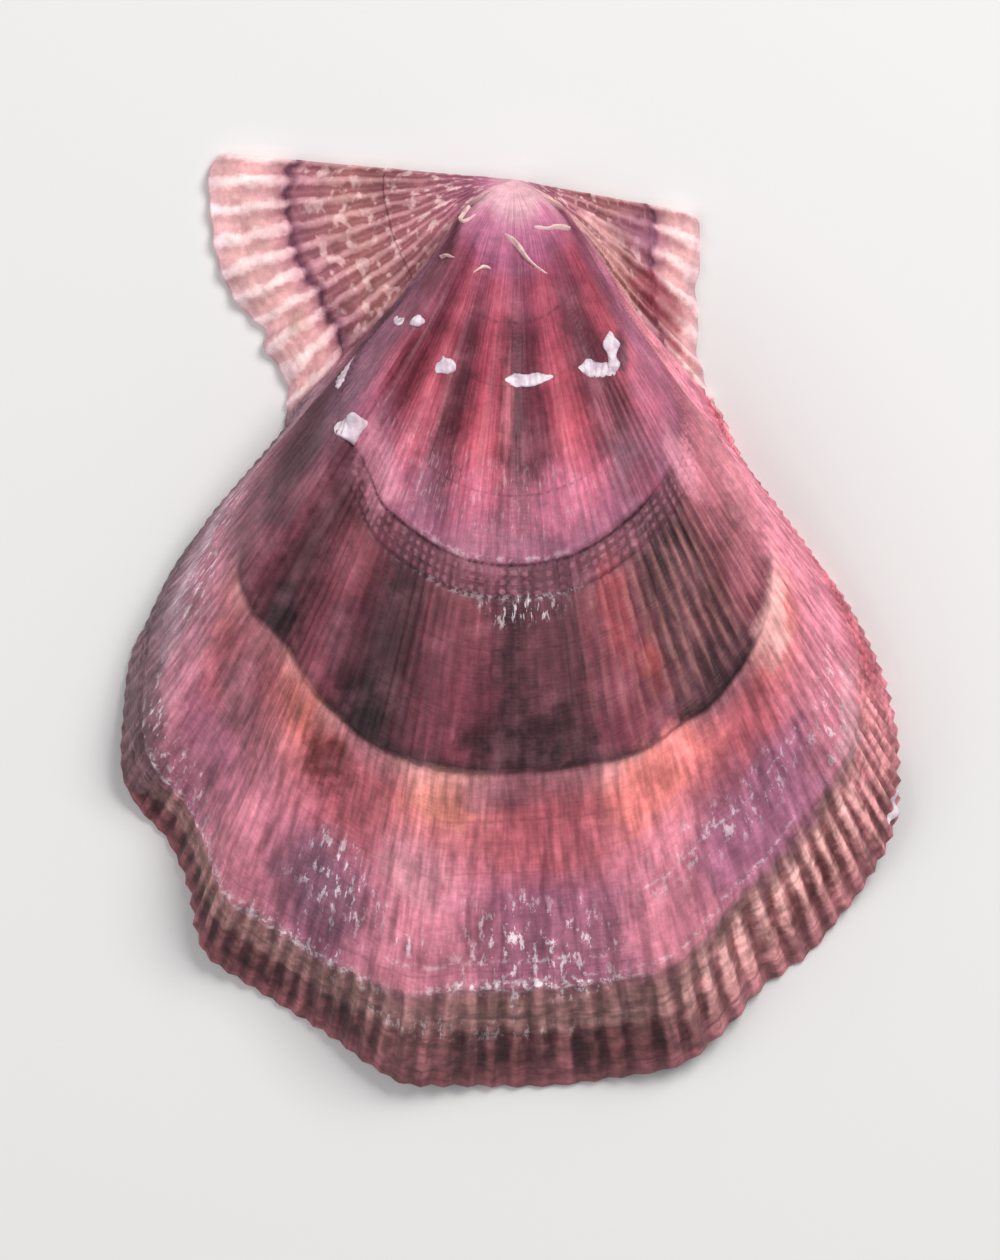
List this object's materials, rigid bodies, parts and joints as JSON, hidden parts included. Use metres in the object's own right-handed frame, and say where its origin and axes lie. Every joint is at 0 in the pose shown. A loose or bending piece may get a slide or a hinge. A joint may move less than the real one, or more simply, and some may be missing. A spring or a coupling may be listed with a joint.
{
  "type": "scallop shell valve",
  "caption": "One valve of a Swift's scallop: a ribbed fan with broad folds, stepped growth ledges, an umbo and two unequal ears, hollow beneath.",
  "frame": {"origin": "middle of the outline's bounding box, on the plane that the rim and hinge plate rest on", "axes": "+Y from the rim's middle towards the umbo and hinge, +Z out of the arched outside, +X towards the smaller, back ear"},
  "size_m": [0.0776, 0.0904, 0.0222],
  "materials": {
    "rose_shell": "satin"
  },
  "bodies": {
    "root": {"left_valve": "rose_shell"}
  },
  "joints": []
}
